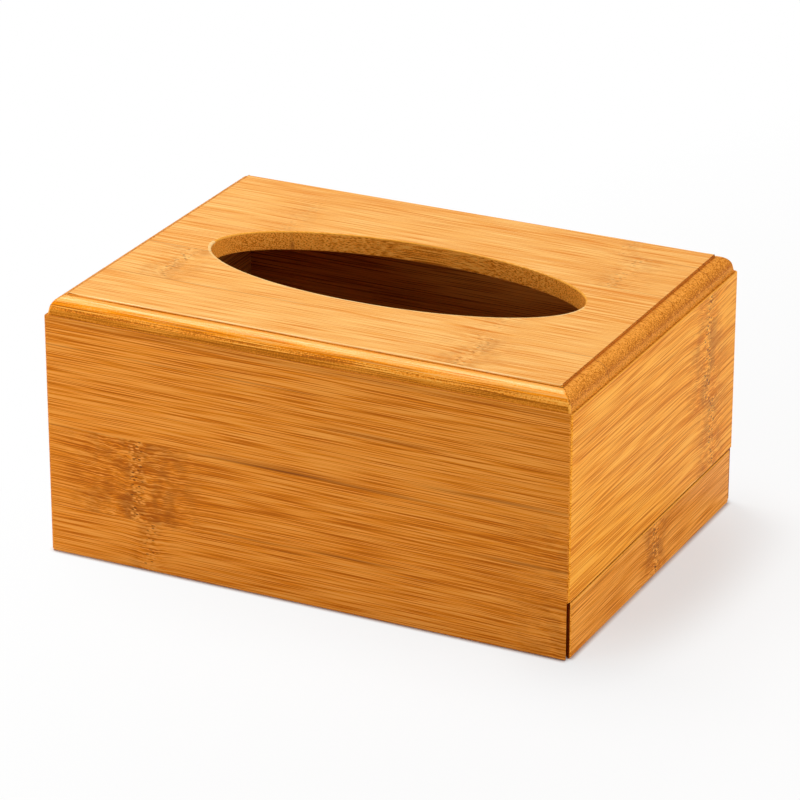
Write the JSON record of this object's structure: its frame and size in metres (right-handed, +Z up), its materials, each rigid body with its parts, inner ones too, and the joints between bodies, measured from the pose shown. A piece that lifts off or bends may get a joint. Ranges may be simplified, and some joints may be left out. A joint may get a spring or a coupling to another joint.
{
  "type": "tissue box cover",
  "caption": "Rectangular bamboo tissue box with a moulded top, an oval mouth and a base that slides out at one end to load the tissues.",
  "frame": {"origin": "middle of the bottom, on the surface that the box stands on", "axes": "+X along the long side towards the end that opens, +Y towards the back, +Z up"},
  "size_m": [0.165, 0.12, 0.08],
  "materials": {
    "bamboo_top": "satin lacquer",
    "bamboo_wall": "satin lacquer",
    "bamboo_base": "unlacquered",
    "bamboo_key": "unlacquered"
  },
  "bodies": {
    "case": {"top_panel": "bamboo_top", "front_panel": "bamboo_wall", "back_panel": "bamboo_wall", "left_end_panel": "bamboo_wall", "right_end_panel": "bamboo_wall", "spline_front_left": "bamboo_key", "spline_back_left": "bamboo_key", "spline_front_right": "bamboo_key", "spline_back_right": "bamboo_key"},
    "sliding_base": {"base_board": "bamboo_base", "pull_strip": "bamboo_wall"}
  },
  "joints": [
    {"name": "base_pull", "type": "slide", "parent": "case", "child": "sliding_base", "axis": [1, 0, 0], "range_m": [0, 0.165]}
  ]
}
